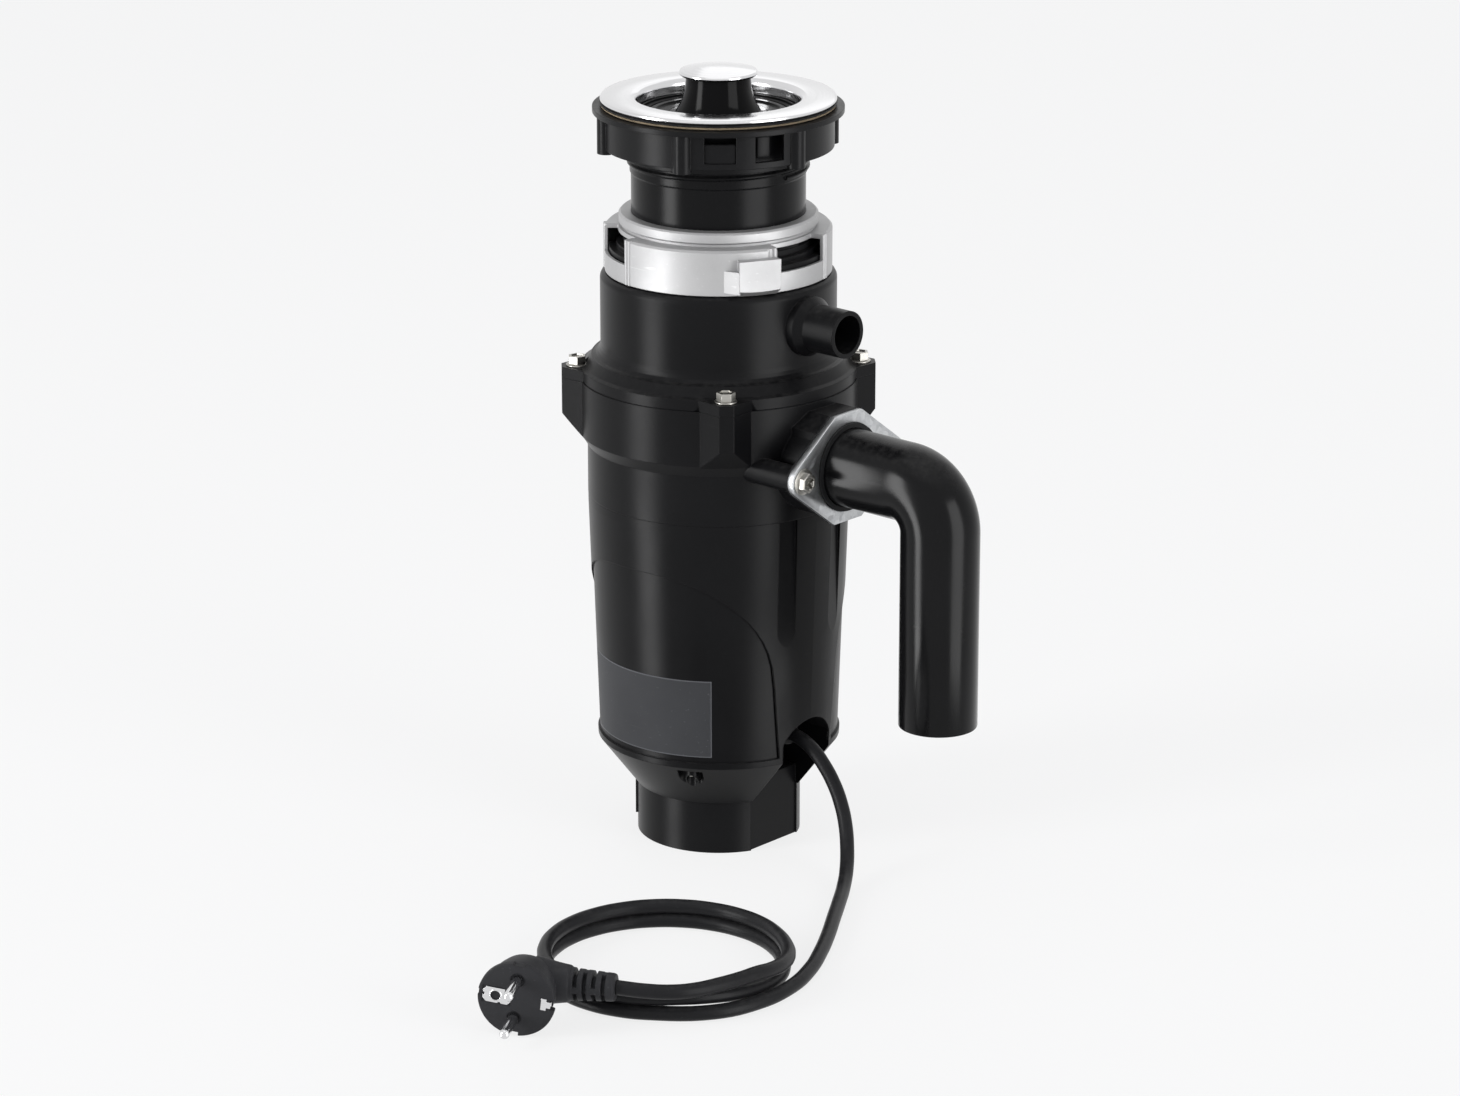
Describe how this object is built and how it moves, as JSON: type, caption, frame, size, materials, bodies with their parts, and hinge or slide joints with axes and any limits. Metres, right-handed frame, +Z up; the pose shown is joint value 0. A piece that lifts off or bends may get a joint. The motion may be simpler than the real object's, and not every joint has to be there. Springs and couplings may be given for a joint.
{
  "type": "kitchen garbage disposal",
  "caption": "Kitchen garbage disposal with a tapered black motor housing, flared hopper, bayonet sink mount, stopper, discharge elbow and coiled supply cord.",
  "frame": {"origin": "on the axis of the unit, at the underside of its base", "axes": "+Z up along the axis of the unit, +X towards the discharge side"},
  "size_m": [0.2444, 0.3475, 0.388],
  "materials": {
    "moulded_black": "satin black moulding",
    "zinc_steel": "zinc plated steel",
    "rubber": "matte black rubber",
    "stainless": "stainless steel",
    "polished_steel": "polished steel",
    "cast_aluminium": "satin die casting",
    "galvanised": "galvanised steel",
    "magnet": "ferrite and carbon",
    "lamination": "laminated steel",
    "copper": "copper and brass",
    "fibre": "tan fibre",
    "cable": "flexible black sheath",
    "plug_grey": "dark grey moulding",
    "red_plastic": "red button",
    "board": "board and its parts"
  },
  "bodies": {
    "unit": {"motor_housing": "moulded_black", "bottom_cover": "moulded_black", "bottom_cover_screws": "zinc_steel", "housing_screws": "zinc_steel", "grind_housing": "moulded_black", "hopper": "moulded_black", "lug_bolts": "zinc_steel", "housing_seal": "rubber", "grind_ring": "stainless", "upper_end_frame": "cast_aluminium", "end_frame_screws": "zinc_steel", "shaft_seal": "rubber", "upper_bearing": "stainless", "motor_can": "zinc_steel", "field_magnets": "magnet", "lower_bearing": "stainless", "lower_end_frame": "cast_aluminium", "brush_holders": "copper", "brushes": "magnet", "brush_springs": "stainless", "overload_protector": "board", "rectifier": "board", "cord_gland": "rubber", "cord_lead": "cable", "cord_coil": "cable", "cord_tail": "cable", "plug_body": "plug_grey", "plug_pins": "polished_steel", "plug_earth_contact": "polished_steel", "sink_flange": "polished_steel", "flange_gasket": "rubber", "threaded_sleeve": "moulded_black", "splash_guard": "rubber", "cushion_ring": "rubber", "discharge_gasket": "rubber", "discharge_flange": "galvanised", "discharge_screws": "zinc_steel", "pipe_seal": "rubber"},
    "stopper": {"stopper_cap": "polished_steel", "stopper_body": "moulded_black", "stopper_seal": "rubber"},
    "nut_carrier": {"fibre_gasket": "fibre"},
    "nut": {"mounting_nut": "moulded_black"},
    "ring": {"mount_ring": "cast_aluminium"},
    "rotor": {"shaft": "stainless", "rotor_core": "lamination", "windings": "copper", "commutator": "copper", "turntable": "stainless", "turntable_nut": "zinc_steel", "impeller_pins": "stainless"},
    "impeller_a": {"impeller_a": "stainless"},
    "impeller_b": {"impeller_b": "stainless"},
    "elbow": {"discharge_elbow": "moulded_black"},
    "reset": {"reset_button": "red_plastic"}
  },
  "joints": [
    {"name": "stopper_lift", "type": "slide", "parent": "unit", "child": "stopper", "axis": [0, 0, 1], "range_m": [0, 0.08]},
    {"name": "nut_travel", "type": "slide", "parent": "unit", "child": "nut_carrier", "axis": [0, 0, -1], "range_m": [0, 0.021]},
    {"name": "nut_turn", "type": "hinge", "parent": "nut_carrier", "child": "nut", "pos_m": [0, 0, 0.36], "axis": [0, 0, -1], "range_deg": [0, 2160]},
    {"name": "ring_turn", "type": "hinge", "parent": "unit", "child": "ring", "pos_m": [0, 0, 0.3], "axis": [0, 0, -1], "range_deg": [0, 45]},
    {"name": "rotor_spin", "type": "hinge", "parent": "unit", "child": "rotor", "pos_m": [0, 0, 0.12], "axis": [0, 0, 1], "continuous": true},
    {"name": "impeller_a_swing", "type": "hinge", "parent": "rotor", "child": "impeller_a", "pos_m": [0.038, 0, 0.23], "axis": [0, 0, 1], "continuous": true},
    {"name": "impeller_b_swing", "type": "hinge", "parent": "rotor", "child": "impeller_b", "pos_m": [-0.038, 0, 0.23], "axis": [0, 0, 1], "continuous": true},
    {"name": "elbow_turn", "type": "hinge", "parent": "unit", "child": "elbow", "pos_m": [0.08, 0, 0.2045], "axis": [1, 0, 0], "range_deg": [-90, 90]},
    {"name": "reset_press", "type": "slide", "parent": "unit", "child": "reset", "axis": [0, 0, 1], "range_m": [0, 0.0015], "stiffness_N_per_m": 300, "springref_m": -0.001}
  ],
  "couplings": [
    {"joint": "nut_travel", "follows": "nut_turn", "m_per_rad": 0.000557}
  ]
}
